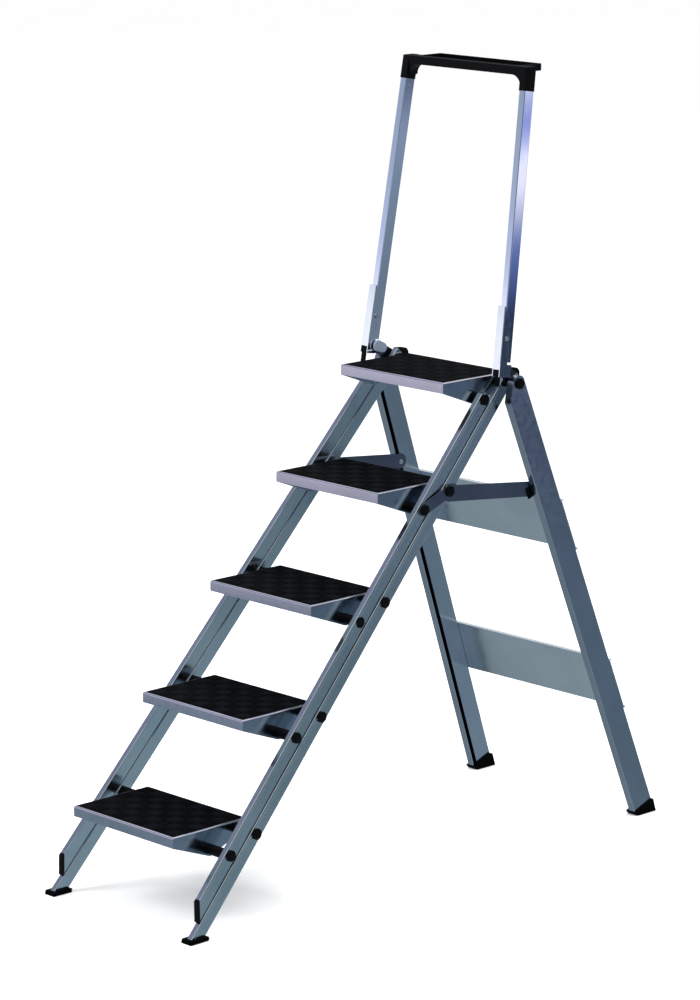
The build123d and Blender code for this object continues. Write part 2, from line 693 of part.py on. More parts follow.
# ---------------------------------------------------------------- handrail brackets
def make_brackets():
    """Plate and block on each rear stile's top end that carry the handrail's tilt pin."""
    anchor = moved(PIVOT, ANCHOR_UP, UP_STILE)
    low = [(PIVOT, 13.0), (anchor, 9.0)]
    plate_outline = hull_plate([(TILT, 12.0)] + low, BRACKET_MID, BRACKET_OUTER)
    block_outline = hull_plate(low, BRACKET_INNER, BRACKET_MID)
    for name, outline in (("rail_bracket", plate_outline), ("bracket_block", block_outline)):
        with BuildPart() as plate:
            add(outline)
            for point, radius in ((PIVOT, PIN_RADIUS), (anchor, ANCHOR_RADIUS),
                                  (TILT, TILT_RADIUS)):
                with BuildSketch(Plane.YZ):
                    with Locations(point):
                        Circle(radius + PIN_FIT)
                extrude(amount=2 * LEG_PIVOT_X, mode=Mode.SUBTRACT)
        keep_pair(name, plate.part)
    ring_radius = BUSH_RADIUS - 3.0
    ring = disc(PIVOT, TREAD_WIDTH / 2, BRACKET_INNER, ring_radius, PIN_RADIUS + PIN_FIT)
    with BuildPart() as washer:
        add(ring)
        split(bisect_by=face_plane(PIVOT), keep=Keep.TOP)
    leg_inner_x = LEG_PIVOT_X - LEG_WIDTH - LEG_SPLAY * BUSH_RADIUS - END_PLAY
    leg_washer = disc(PIVOT, BRACKET_OUTER, leg_inner_x, ring_radius, PIN_RADIUS + PIN_FIT)
    keep_both_sides("pivot_washers", [washer.part, leg_washer])
    shank = disc(anchor, TREAD_WIDTH / 2, BRACKET_OUTER, ANCHOR_RADIUS)
    with BuildPart() as bolt:
        add(shank)
        split(bisect_by=face_plane(anchor), keep=Keep.TOP)
        with BuildSketch(Plane.YZ.offset(BRACKET_OUTER)):
            with Locations(anchor):
                RegularPolygon(BOLT_HEAD, 6)
        extrude(amount=3.2)
    keep_both_sides("bracket_bolts", [bolt.part])


def make_tilt_parts():
    """Bolt on the right, lever knob with its screw on the left, and a nut in each sleeve."""
    nut_x = rail_centre(TILT[1]).X - RAIL_WIDTH / 2 - SLEEVE_GAP + 0.4
    with BuildPart() as nut:
        with BuildSketch(Plane.YZ.offset(nut_x)):
            with Locations(TILT):
                RegularPolygon(8.0, 6)
                Circle(TILT_RADIUS + PIN_FIT, mode=Mode.SUBTRACT)
        extrude(amount=5.0)
    keep_both_sides("tilt_nuts", [nut.part])
    head_x = BRACKET_MID - END_PLAY
    shank = disc(TILT, head_x, nut_x + 6.0, TILT_RADIUS)
    with BuildPart() as bolt:
        with BuildSketch(Plane.YZ.offset(head_x - 4.0)):
            with Locations(TILT):
                RegularPolygon(8.0, 6)
        extrude(amount=4.0)
        add(shank)
    keep("tilt_bolt", bolt.part)
    tip = (rear(KNOB_TIP[0]), KNOB_TIP[1])
    lever = hull_plate([(TILT, KNOB_RADIUS), (tip, KNOB_TIP_RADIUS)], KNOB_FACE, head_x)
    screw = disc(TILT, KNOB_FACE + 2.5, nut_x + 6.0, TILT_RADIUS)
    keep("lock_screw", mirrored(screw))
    with BuildPart() as knob:
        add(lever)
        fillet(knob.faces().sort_by(Axis.X)[0].edges(), 2.4)
        add(screw, mode=Mode.SUBTRACT)
    keep("lock_knob", mirrored(knob.part))


# ---------------------------------------------------------------- handrail
def make_sleeves():
    """U-channel round the foot of each bar, with slanted flange tops and wide flange feet."""
    half = RAIL_WIDTH / 2 + SLEEVE_GAP + SLEEVE_WALL
    front = -RAIL_DEPTH / 2 - PACKING - SLEEVE_WALL
    top = rail_centre(SLEEVE_START_Z + SLEEVE_LENGTH)
    slant = Plane(origin=top + Vector(0, front, 0), x_dir=(1, 0, 0),
                  z_dir=(0, SLEEVE_SLANT[0], SLEEVE_SLANT[1]))
    bores = [disc(TILT, 0, rail_centre(TILT[1]).X, TILT_RADIUS + PIN_FIT),
             disc(sleeve_bolt_place(), 0, 2 * LEG_PIVOT_X, SLEEVE_BOLT)]
    with BuildPart() as sleeve:
        with BuildSketch(rail_plane(SLEEVE_START_Z)):
            with Locations((0, front + SLEEVE_DEPTH / 2)):
                RectangleRounded(2 * half, SLEEVE_DEPTH, 1.5)
            with Locations((0, front + SLEEVE_DEPTH / 2 + SLEEVE_WALL)):
                Rectangle(2 * (half - SLEEVE_WALL), SLEEVE_DEPTH, mode=Mode.SUBTRACT)
        extrude(amount=SLEEVE_LENGTH)
        split(bisect_by=slant, keep=Keep.BOTTOM)
        with BuildSketch(rail_plane(FOOT_Z[0])):
            side = half - SLEEVE_WALL / 2
            with Locations((-side, front + FOOT_DEPTH / 2), (side, front + FOOT_DEPTH / 2)):
                Rectangle(SLEEVE_WALL, FOOT_DEPTH)
        extrude(amount=FOOT_Z[1] - FOOT_Z[0])
        add(bores, mode=Mode.SUBTRACT)
    keep_pair("rail_sleeve", sleeve.part)


def make_rail_packing():
    """Black strip between each bar and its sleeve's front wall, with a tongue below it."""
    middle = -RAIL_DEPTH / 2 - PACKING / 2
    thickness = PACKING - 0.2
    width, shift, end_z = TONGUE
    with BuildPart() as strip:
        with BuildSketch(rail_plane(SLEEVE_START_Z)):
            with Locations((0, middle)):
                Rectangle(RAIL_WIDTH, thickness)
        extrude(amount=SLEEVE_LENGTH - 4.0)
        with BuildSketch(rail_plane(end_z)):
            with Locations((shift, middle)):
                Rectangle(width, thickness)
        extrude(amount=SLEEVE_START_Z - end_z + 3.0)
    bore = disc(sleeve_bolt_place(), 0, 2 * LEG_PIVOT_X, SLEEVE_BOLT)
    with BuildPart() as packing:
        add(strip.part)
        add(bore, mode=Mode.SUBTRACT)
    keep_both_sides("rail_packings", [packing.part])


def sleeve_bolt_place():
    """(y, z) of the bolt that holds each bar in its sleeve."""
    centre = rail_centre(SLEEVE_BOLT_Z)
    return (centre.Y - SLEEVE_BOLT_AHEAD, centre.Z)


def make_sleeve_bolts():
    """Cross bolt through each sleeve and bar."""
    place = sleeve_bolt_place()
    x = rail_centre(place[1]).X
    half = RAIL_WIDTH / 2 + SLEEVE_GAP + SLEEVE_WALL
    shank = disc(place, x - half - 0.4, x + half + 0.4, SLEEVE_BOLT)
    head = disc(place, x - half - 2.6, x - half - 0.4, SLEEVE_BOLT + 2.4)
    tail = disc(place, x + half + 0.4, x + half + 2.0, SLEEVE_BOLT + 2.4)
    with BuildPart() as bolt:
        add([shank, head, tail])
    keep_both_sides("sleeve_bolts", [bolt.part])


def make_rail_bars():
    """Rectangular tube bars of the handrail, closing in towards the top."""
    length = (RAIL_END_Z - RAIL_START_Z) / RAIL_AXIS.normalized().Z
    bore = disc(sleeve_bolt_place(), 0, 2 * LEG_PIVOT_X, SLEEVE_BOLT)
    with BuildPart() as bar:
        with BuildSketch(rail_plane(RAIL_START_Z)):
            RectangleRounded(RAIL_WIDTH, RAIL_DEPTH, 2.0)
            RectangleRounded(RAIL_WIDTH - 2 * RAIL_WALL, RAIL_DEPTH - 2 * RAIL_WALL, 1.0,
                             mode=Mode.SUBTRACT)
        extrude(amount=length)
        add(bore, mode=Mode.SUBTRACT)
    keep_pair("rail_bar", bar.part)


def make_rail_corners():
    """Black corner piece over the top of each bar, with a curved web towards the tray."""
    bar_top = rail_centre(RAIL_END_Z)
    inner_x = rail_centre(TRAY_TOP_Z).X - RAIL_WIDTH / 2 - CORNER_WALL
    web_foot = TRAY_TOP_Z - BEAM_HEIGHT - CORNER_WEB
    with BuildPart() as corner:
        with BuildSketch(rail_plane(CORNER_START_Z)):
            RectangleRounded(RAIL_WIDTH + 2 * CORNER_WALL, RAIL_DEPTH + 2 * CORNER_WALL, 3.0)
        extrude(amount=TRAY_TOP_Z - CORNER_START_Z + RAIL_WIDTH)
        with BuildSketch(Plane.XZ.offset(-rear(TRAY_FRONT))):
            with BuildLine():
                Line((CORNER_END_X, TRAY_TOP_Z), (bar_top.X, TRAY_TOP_Z))
                Line((bar_top.X, TRAY_TOP_Z), (bar_top.X, web_foot))
                Line((bar_top.X, web_foot), (inner_x, web_foot))
                CenterArc((inner_x - CORNER_WEB, web_foot), CORNER_WEB, 0, 90)
                Line((inner_x - CORNER_WEB, web_foot + CORNER_WEB),
                     (CORNER_END_X, web_foot + CORNER_WEB))
                Line((CORNER_END_X, web_foot + CORNER_WEB), (CORNER_END_X, TRAY_TOP_Z))
            make_face()
        extrude(amount=-BEAM_DEPTH)
        split(bisect_by=Plane.XY.offset(TRAY_TOP_Z), keep=Keep.BOTTOM)
        with BuildSketch(rail_plane(RAIL_START_Z)):
            RectangleRounded(RAIL_WIDTH, RAIL_DEPTH, 2.0)
        extrude(amount=(RAIL_END_Z - RAIL_START_Z) / RAIL_AXIS.normalized().Z,
                mode=Mode.SUBTRACT)
    keep_pair("rail_corner", corner.part)


def make_tray():
    """Black tool tray: the beam between the corner pieces and a rimmed shelf behind it."""
    front = rear(TRAY_FRONT)
    shelf_front = front + BEAM_DEPTH
    back = rear(TRAY_BACK)
    shelf_middle = (shelf_front + back) / 2
    shelf_depth = back - shelf_front
    with BuildPart() as tray:
        with BuildSketch(Plane.XY.offset(TRAY_TOP_Z - BEAM_HEIGHT)):
            with Locations((0, front + BEAM_DEPTH / 2)):
                Rectangle(2 * CORNER_END_X, BEAM_DEPTH)
        extrude(amount=BEAM_HEIGHT)
        with BuildSketch(Plane.XY.offset(TRAY_TOP_Z - TRAY_HEIGHT)):
            with Locations((0, shelf_middle)):
                Rectangle(2 * TRAY_HALF, shelf_depth)
        extrude(amount=TRAY_HEIGHT)
        fillet(tray.edges().filter_by(Axis.Z).group_by(Axis.Y)[-1], 6.0)
        with BuildSketch(Plane.XY.offset(TRAY_TOP_Z - TRAY_RECESS)):
            with Locations((0, shelf_middle - 8.0)):
                RectangleRounded(2 * TRAY_HALF - 10.0, shelf_depth + 8.0, 4.0)
        extrude(amount=TRAY_RECESS, mode=Mode.SUBTRACT)
    keep("tool_tray", tray.part)


def make_rail_rivets():
    """Two small rivets in the inner face of each bar, under the corner piece."""
    rivets = []
    for z in RAIL_RIVET_Z:
        centre = rail_centre(z)
        face = Plane(origin=centre - rail_plane(z).x_dir * (RAIL_WIDTH / 2),
                     x_dir=(0, 1, 0), z_dir=-rail_plane(z).x_dir)
        with BuildPart() as rivet:
            with BuildSketch(face):
                Circle(3.2)
            extrude(amount=1.2, taper=30)
        rivets.append(rivet.part)
    keep_both_sides("rail_rivets", rivets)


def make_all():
    """Make every piece."""
    make_stiles()
    make_rear_stile_caps()
    make_front_stile_caps()
    make_front_feet()
    make_pins()
    make_bushes_and_caps()
    for index in range(STEP_COUNT):
        make_tread(index)
        make_mat(index)
    make_crank_arms()
    make_arm_bushes()
    make_guides()
    make_leg()
    make_rear_feet()
    for name, top in zip(("upper_brace", "lower_brace"), BRACE_STARTS):
        make_brace(name, top)
    make_brace_rivets()
    make_brackets()
    make_tilt_parts()
    make_sleeves()
    make_rail_packing()
    make_sleeve_bolts()
    make_rail_bars()
    make_rail_corners()
    make_tray()
    make_rail_rivets()


make_all()
os.makedirs("parts", exist_ok=True)
for name, part in PARTS.items():
    export_step(part, f"parts/{name}.step")
    print(name, len(part.solids()), round(part.volume))
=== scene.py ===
"""Looks of the folding step ladder: finished metal, rubber and plastic pieces round the CAD frame."""
import json
from math import cos, pi, radians, sin

import bmesh
import bpy
import numpy as np
from mathutils import Matrix, Vector

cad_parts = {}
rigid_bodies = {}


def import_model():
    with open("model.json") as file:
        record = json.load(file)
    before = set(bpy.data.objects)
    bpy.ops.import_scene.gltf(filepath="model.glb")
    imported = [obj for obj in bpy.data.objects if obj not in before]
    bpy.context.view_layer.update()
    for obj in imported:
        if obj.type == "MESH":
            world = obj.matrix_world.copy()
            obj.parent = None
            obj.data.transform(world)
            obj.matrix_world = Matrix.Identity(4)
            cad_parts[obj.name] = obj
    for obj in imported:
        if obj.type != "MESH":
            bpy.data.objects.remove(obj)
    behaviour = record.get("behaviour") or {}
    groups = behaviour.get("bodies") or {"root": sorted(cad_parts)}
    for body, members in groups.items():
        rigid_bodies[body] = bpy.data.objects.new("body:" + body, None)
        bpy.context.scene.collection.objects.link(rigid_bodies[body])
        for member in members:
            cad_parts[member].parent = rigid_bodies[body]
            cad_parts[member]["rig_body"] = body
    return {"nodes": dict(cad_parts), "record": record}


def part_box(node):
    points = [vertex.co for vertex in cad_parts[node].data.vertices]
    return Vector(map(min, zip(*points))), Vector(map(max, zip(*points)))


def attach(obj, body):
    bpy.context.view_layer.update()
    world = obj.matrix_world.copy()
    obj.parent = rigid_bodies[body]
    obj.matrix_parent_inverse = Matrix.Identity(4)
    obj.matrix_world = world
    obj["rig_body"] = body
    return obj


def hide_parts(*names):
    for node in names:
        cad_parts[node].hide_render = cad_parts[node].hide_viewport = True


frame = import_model()
NODES = frame["nodes"]
SLOT = {p["node"]: p["material_slot"] for p in frame["record"]["subparts"]}
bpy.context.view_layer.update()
MM = 0.001


# ------------------------------------------------------------------ materials
def new_material(name):
    """An empty node material with its Principled shader."""
    material = bpy.data.materials.new(name)
    material.use_nodes = True
    return material, material.node_tree, material.node_tree.nodes["Principled BSDF"]


def add_node(tree, kind, values=None, **settings):
    """One node, with its settings and its unlinked socket values."""
    node = tree.nodes.new(kind)
    for key, value in settings.items():
        setattr(node, key, value)
    for key, value in (values or {}).items():
        node.inputs[key].default_value = value
    return node


def ramp(tree, source, stops):
    """Colour ramp fed by a socket; stops are pairs of a place and a red, green, blue colour."""
    node = add_node(tree, "ShaderNodeValToRGB")
    while len(node.color_ramp.elements) < len(stops):
        node.color_ramp.elements.new(0.5)
    for element, (place, colour) in zip(node.color_ramp.elements, stops):
        element.position = place
        element.color = (*colour, 1.0)
    tree.links.new(source, node.inputs["Fac"])
    return node


def grain_coordinates(tree, along, across_scale, along_scale):
    """Object coordinates stretched along a direction, for drawn and brushed metal."""
    rotation = Vector(along).to_track_quat("Z", "Y").to_euler()
    place = add_node(tree, "ShaderNodeTexCoord")
    turn = add_node(tree, "ShaderNodeMapping", {"Rotation": rotation}, vector_type="TEXTURE")
    scale = add_node(tree, "ShaderNodeMapping", vector_type="POINT")
    scale.inputs["Scale"].default_value = (across_scale, across_scale, along_scale)
    tree.links.new(place.outputs["Object"], turn.inputs["Vector"])
    tree.links.new(turn.outputs["Vector"], scale.inputs["Vector"])
    return scale.outputs["Vector"], place.outputs["Object"]


def metal(name, low, high, along=(0, 0, 1), roughness=(0.28, 0.42), bump=0.12):
    """Drawn aluminium: fine streaks along its length, broad tone changes, soft scuffs."""
    material, tree, shader = new_material(name)
    streak_place, object_place = grain_coordinates(tree, along, 900.0, 14.0)
    streak = add_node(tree, "ShaderNodeTexNoise", {"Scale": 1.0, "Detail": 3.0, "Roughness": 0.6})
    tree.links.new(streak_place, streak.inputs["Vector"])
    broad = add_node(tree, "ShaderNodeTexNoise", {"Scale": 7.0, "Detail": 2.0})
    tree.links.new(object_place, broad.inputs["Vector"])
    mix = add_node(tree, "ShaderNodeMix", {"Factor": 0.55}, data_type="FLOAT")
    tree.links.new(streak.outputs["Fac"], mix.inputs[2])
    tree.links.new(broad.outputs["Fac"], mix.inputs[3])
    tone = ramp(tree, mix.outputs[0], [(0.3, low), (0.7, high)])
    tree.links.new(tone.outputs["Color"], shader.inputs["Base Color"])
    scuff = add_node(tree, "ShaderNodeTexNoise", {"Scale": 60.0, "Detail": 4.0})
    tree.links.new(object_place, scuff.inputs["Vector"])
    rough = add_node(tree, "ShaderNodeMapRange", {"From Min": 0.3, "From Max": 0.7,
                                                 "To Min": roughness[0], "To Max": roughness[1]})
    tree.links.new(scuff.outputs["Fac"], rough.inputs["Value"])
    tree.links.new(rough.outputs["Result"], shader.inputs["Roughness"])
    relief = add_node(tree, "ShaderNodeBump", {"Strength": bump, "Distance": 0.0003})
    tree.links.new(streak.outputs["Fac"], relief.inputs["Height"])
    tree.links.new(relief.outputs["Normal"], shader.inputs["Normal"])
    shader.inputs["Metallic"].default_value = 1.0
    shader.inputs["Anisotropic"].default_value = 0.3
    return material


def moulded(name, dark, light, roughness=(0.45, 0.7), scale=900.0, bump=0.25, shine=0.2):
    """Moulded rubber or plastic: fine pebbled skin and slight dusting; shine 0 is dead matt."""
    material, tree, shader = new_material(name)
    place = add_node(tree, "ShaderNodeTexCoord")
    skin = add_node(tree, "ShaderNodeTexNoise", {"Scale": scale, "Detail": 2.0})
    dust = add_node(tree, "ShaderNodeTexNoise", {"Scale": 18.0, "Detail": 5.0, "Roughness": 0.65})
    for texture in (skin, dust):
        tree.links.new(place.outputs["Object"], texture.inputs["Vector"])
    tone = ramp(tree, dust.outputs["Fac"], [(0.35, dark), (0.75, light)])
    tree.links.new(tone.outputs["Color"], shader.inputs["Base Color"])
    rough = add_node(tree, "ShaderNodeMapRange", {"From Min": 0.3, "From Max": 0.7,
                                                 "To Min": roughness[0], "To Max": roughness[1]})
    tree.links.new(dust.outputs["Fac"], rough.inputs["Value"])
    tree.links.new(rough.outputs["Result"], shader.inputs["Roughness"])
    relief = add_node(tree, "ShaderNodeBump", {"Strength": bump, "Distance": 0.0002})
    tree.links.new(skin.outputs["Fac"], relief.inputs["Height"])
    tree.links.new(relief.outputs["Normal"], shader.inputs["Normal"])
    shader.inputs["Specular IOR Level"].default_value = shine
    return material


# Directions of the grain, and a finish for each material slot. The tread's side plates get a
# darker copy of the tread metal as painted shade, and the mats' crosswise ribs a lighter copy of the
# mat rubber as painted sheen.
UP_STILE = (0, 0.678, 0.735)
DOWN_LEG = (0, 0.352, -0.936)
UP_RAIL = (0, 0.150, 0.989)
MATERIALS = {
    "stile_aluminium": metal("drawn_stile", (0.40, 0.47, 0.49), (0.54, 0.60, 0.62), UP_STILE,
                             roughness=(0.14, 0.22)),
    "leg_aluminium": metal("drawn_leg", (0.33, 0.38, 0.43), (0.42, 0.47, 0.54), DOWN_LEG,
                           roughness=(0.14, 0.22)),
    "rail_aluminium": metal("drawn_rail", (0.74, 0.75, 0.86), (0.84, 0.85, 0.95), UP_RAIL,
                            roughness=(0.03, 0.05), bump=0.02),
    "sleeve_aluminium": metal("satin_sleeve", (0.70, 0.72, 0.78), (0.80, 0.82, 0.86), UP_RAIL,
                              roughness=(0.05, 0.08), bump=0.02),
    "bracket_aluminium": metal("dark_bracket", (0.04, 0.045, 0.07), (0.08, 0.085, 0.12)),
    # Aluminium darkened far below the other aluminium parts: painted shade for arms that sit between
    # stile and leg.
    "arm_aluminium": metal("arm_painted_shade", (0.10, 0.12, 0.16), (0.15, 0.17, 0.22), (0, 1, -0.13)),
    "brace_aluminium": metal("folded_brace", (0.56, 0.62, 0.66), (0.68, 0.74, 0.78), (1, 0, 0),
                             roughness=(0.22, 0.30), bump=0.03),
    "tread_aluminium": metal("folded_tread", (0.56, 0.56, 0.64), (0.70, 0.69, 0.78), (1, 0, 0),
                             roughness=(0.12, 0.2), bump=0.06),
    # Darker copy of the tread metal for faces that look along X: painted shade on the tread's side
    # plates.
    "tread_side_painted_shade": metal("tread_side_painted_shade", (0.24, 0.29, 0.36), (0.34, 0.39, 0.46), (0, 0, 1),
                        roughness=(0.12, 0.2), bump=0.06),
    # Lighter copy of the mat rubber for the ribs that run along X: painted sheen for how those ribs
    # catch the light.
    "rib_painted_sheen": moulded("rib_painted_sheen", (0.0018, 0.0023, 0.0032), (0.0036, 0.0046, 0.006),
                          shine=0.02),
    "plated_steel": metal("plated_steel", (0.50, 0.50, 0.52), (0.64, 0.64, 0.66),
                          roughness=(0.2, 0.32)),
    "black_rubber": moulded("mat_rubber", (0.0006, 0.0007, 0.001), (0.0014, 0.0015, 0.002),
                            shine=0.02),
    "foot_rubber": moulded("foot_rubber", (0.0008, 0.0008, 0.001), (0.002, 0.002, 0.0022),
                           shine=0.02),
    "black_plastic": moulded("black_plastic", (0.0008, 0.0009, 0.0012), (0.002, 0.002, 0.0024),
                             roughness=(0.35, 0.5), scale=1500.0, bump=0.15, shine=0.08),
    "grey_plastic": moulded("grey_plastic", (0.22, 0.27, 0.37), (0.38, 0.44, 0.55),
                            roughness=(0.3, 0.45), scale=1500.0, bump=0.15, shine=0.4),
}


# ------------------------------------------------------------------ mesh helpers
def piece_from(bm, node, weighted=True, second=None):
    """Turn a bmesh into a piece that stands for a CAD node and moves with its body.

    Faces with material number 1 get the finish named second.
    """
    name = node + "_finish"
    mesh = bpy.data.meshes.new(name)
    bm.normal_update()
    bm.to_mesh(mesh)
    bm.free()
    mesh.materials.append(MATERIALS[SLOT[node]])
    if second:
        mesh.materials.append(MATERIALS[second])
    mesh.shade_smooth()
    mesh.set_sharp_from_angle(angle=radians(50))
    piece = bpy.data.objects.new(name, mesh)
    bpy.context.scene.collection.objects.link(piece)
    if weighted:
        modifier = piece.modifiers.new("flat_faces", "WEIGHTED_NORMAL")
        modifier.keep_sharp = True
    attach(piece, NODES[node]["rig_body"])
    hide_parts(node)


def clean_copy(node):
    """The CAD node's own faces as a bmesh, with flat areas joined."""
    bm = bmesh.new()
    bm.from_mesh(NODES[node].data)
    bmesh.ops.remove_doubles(bm, verts=bm.verts[:], dist=2e-6)
    bmesh.ops.dissolve_limit(bm, angle_limit=radians(0.5), verts=bm.verts[:], edges=bm.edges[:])
    return bm


def sharp_edges(bm, least_angle):
    """Edges between two faces that meet at more than least_angle degrees."""
    return [e for e in bm.edges if len(e.link_faces) == 2
            and e.calc_face_angle(0) > radians(least_angle)]


def round_off(bm, edges, width, segments):
    """Round edges by width millimetres."""
    bmesh.ops.bevel(bm, geom=edges, offset=width * MM, segments=segments, profile=0.5,
                    affect="EDGES", clamp_overlap=True)


def refine(node, width, segments=2):
    """The CAD shape with every sharp edge rounded by width millimetres."""
    bm = clean_copy(node)
    round_off(bm, sharp_edges(bm, 35), width, segments)
    piece_from(bm, node)


TREAD_ROUND = 4.2            # millimetres, front and side top edges
TREAD_EDGE = 0.6             # millimetres, the other edges
CLOSE = 1e-5                 # metres, two places taken as the same


def finish_tread(node):
    """A tread with a broad round over its front and side top edges, and fine ones elsewhere."""
    low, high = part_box(node)
    bm = clean_copy(node)

    def outer(edge):
        """Whether an edge runs along the tread's upper outline, apart from its rear."""
        a, b = (v.co for v in edge.verts)
        top = min(a.z, b.z) > high.z - CLOSE
        front = max(a.y, b.y) < low.y + CLOSE
        side = abs(abs(a.x) - high.x) < CLOSE and abs(abs(b.x) - high.x) < CLOSE
        return top and (front or side)

    round_off(bm, [e for e in bm.edges if outer(e)], TREAD_ROUND, 5)
    round_off(bm, sharp_edges(bm, 50), TREAD_EDGE, 2)
    bm.normal_update()
    # Side-plate faces get the darker tread metal: painted shade.
    for face in bm.faces:
        face.material_index = int(abs(face.normal.x) > 0.95)
    piece_from(bm, node, second="tread_side_painted_shade")


def islands(node):
    """Vertex arrays, one for each separate solid of a CAD node."""
    bm = bmesh.new()
    bm.from_mesh(NODES[node].data)
    bmesh.ops.remove_doubles(bm, verts=bm.verts[:], dist=2e-6)
    left, found = set(bm.verts), []
    while left:
        stack, group = [left.pop()], []
        while stack:
            vert = stack.pop()
            group.append(vert.co.copy())
            for edge in vert.link_edges:
                other = edge.other_vert(vert)
                if other in left:
                    left.remove(other)
                    stack.append(other)
        found.append(np.array(group))
    bm.free()
    return sorted(found, key=lambda points: tuple(points.mean(0).round(4)))


def disc_place(points, outward):
    """(centre of the base, axis, radius, height) of a flat round solid."""
    middle = points.mean(0)
    axis = np.linalg.svd(points - middle)[2][2]
    axis = axis * (1 if axis @ outward > 0 else -1)
    along = (points - middle) @ axis
    base = points[along < along.min() + CLOSE]
    radius = np.linalg.norm(base - base.mean(0), axis=1).max()
    return Vector(base.mean(0)), Vector(axis), float(radius), float(np.ptp(along))


def lathe(bm, profile, centre, axis, steps=32):
    """Turn a profile of (radius, height) in metres round an axis."""
    turn = Matrix.Translation(centre) @ axis.to_track_quat("Z", "Y").to_matrix().to_4x4()
    rings = []
    for radius, height in profile:
        if radius < 1e-7:
            rings.append([bm.verts.new(turn @ Vector((0, 0, height)))])
            continue
        angles = [2 * pi * k / steps for k in range(steps)]
        rings.append([bm.verts.new(turn @ Vector((radius * cos(a), radius * sin(a), height)))
                      for a in angles])
    for low, high in zip(rings, rings[1:]):
        for k in range(steps):
            quad = [low[k % len(low)], low[(k + 1) % len(low)],
                    high[(k + 1) % len(high)], high[k % len(high)]]
            bm.faces.new(list(dict.fromkeys(quad)))


def domes(node, profile):
    """Replace each flat disc of a node with a turned shape.

    The profile is in shares of the disc's radius and height. Brace rivets stand out to the
    rear, rail rivets to the middle of the ladder, and everything else to its sides.
    """
    bm = bmesh.new()
    for points in islands(node):
        outward = np.array((0, 1, 0)) if "brace" in node else np.array((points.mean(0)[0], 0, 0))
        if node == "rail_rivets":
            outward = -outward
        centre, axis, radius, height = disc_place(points, outward)
        lathe(bm, [(r * radius, h * height) for r, h in profile], centre, axis)
    piece_from(bm, node, weighted=False)


def block(bm, low, high, inset, slot):
    """Open box with a smaller top face, added to a bmesh in material number slot."""
    corners = []
    for z, grow in ((low[2], 0.0), (high[2], inset)):
        for x, y in ((low[0] + grow, low[1] + grow), (high[0] - grow, low[1] + grow),
                     (high[0] - grow, high[1] - grow), (low[0] + grow, high[1] - grow)):
            corners.append(bm.verts.new((x, y, z)))
    bm.faces.new(corners[4:])
    for k in range(4):
        n = (k + 1) % 4
        bm.faces.new((corners[k], corners[n], corners[n + 4], corners[k + 4]))
    for face in {f for corner in corners for f in corner.link_faces}:
        face.material_index = slot


# ------------------------------------------------------------------ rubber mats
TILES = (9, 6)               # across and deep
RIBS = 5                     # on each tile
RIB_GAP = 1.0 * MM
RIB_HEIGHT = 0.9 * MM
RIB_SLOPE = 0.4 * MM         # the rib's top is smaller by this all round
TILE_MARGIN = 1.5 * MM
MAT_BORDER = 5.0 * MM


def tile_ribs(bm, corner, size, along_x, z):
    """One basket-weave tile: parallel raised ribs along X or along Y."""
    length = (size[0] if along_x else size[1]) - 2 * TILE_MARGIN
    span = (size[1] if along_x else size[0]) - 2 * TILE_MARGIN
    width = span / RIBS - RIB_GAP
    for k in range(RIBS):
        offset = TILE_MARGIN + RIB_GAP / 2 + k * (width + RIB_GAP)
        if along_x:
            low = (corner[0] + TILE_MARGIN, corner[1] + offset, z)
            high = (low[0] + length, low[1] + width, z + RIB_HEIGHT)
        else:
            low = (corner[0] + offset, corner[1] + TILE_MARGIN, z)
            high = (low[0] + width, low[1] + length, z + RIB_HEIGHT)
        # Ribs along X take material number 1, the lighter rubber: painted sheen.
        block(bm, low, high, RIB_SLOPE, int(along_x))


def make_mat(index):
    """Black mat with a raised border and a basket-weave field of ribs."""
    node = f"mat_{index}"
    low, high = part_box(node)
    bm = clean_copy(node)
    x0, y0 = low.x + MAT_BORDER, low.y + MAT_BORDER
    size = ((high.x - low.x - 2 * MAT_BORDER) / TILES[0],
            (high.y - low.y - 2 * MAT_BORDER) / TILES[1])
    for column in range(TILES[0]):
        for row in range(TILES[1]):
            corner = (x0 + column * size[0], y0 + row * size[1])
            tile_ribs(bm, corner, size, (column + row) % 2 == 0, high.z - 0.1 * MM)
    piece_from(bm, node, second="rib_painted_sheen")


# ------------------------------------------------------------------ finished pieces
def both(name):
    """The right and left node of a pair."""
    return [name + "_right", name + "_left"]


for index in range(1, 6):
    make_mat(index)
    finish_tread(f"tread_{index}")
for node in both("rear_stile") + both("front_stile"):
    refine(node, 1.2)
for node in both("rear_leg"):
    refine(node, 0.6, segments=1)
for node in both("rail_bar"):
    refine(node, 0.5, segments=1)
for node in both("rail_sleeve") + both("crank_arm") + both("rail_bracket") + ["guide_blocks"]:
    refine(node, 0.4)
for node in both("bracket_block") + both("front_stile_cap") + ["upper_brace", "lower_brace"]:
    refine(node, 0.6)
for node in ("rear_stile_caps", "rail_packings"):
    refine(node, 0.8, segments=3)
for node in both("front_foot") + both("rear_foot"):
    refine(node, 1.2, segments=3)
for node in both("rail_corner") + ["tool_tray", "lock_knob"]:
    refine(node, 1.0, segments=3)

CAP = [(1.0, 0.0), (1.0, 0.70), (0.985, 0.80), (0.95, 0.88), (0.89, 0.94), (0.86, 0.93),
       (0.84, 0.93), (0.78, 0.97), (0.5, 1.02), (0.0, 1.03)]
for node in ("rear_pin_caps", "front_pin_caps", "arm_pin_caps", "leg_pivot_caps"):
    domes(node, CAP)
RIVET = [(1.0, 0.0), (1.0, 0.15), (0.97, 0.40), (0.9, 0.60), (0.7, 0.85), (0.4, 1.0), (0.0, 1.05)]
for node in ("brace_rivets", "rail_rivets"):
    domes(node, RIVET)

for node, obj in NODES.items():
    if not obj.hide_render:
        obj.data.materials.clear()
        obj.data.materials.append(MATERIALS[SLOT[node]])


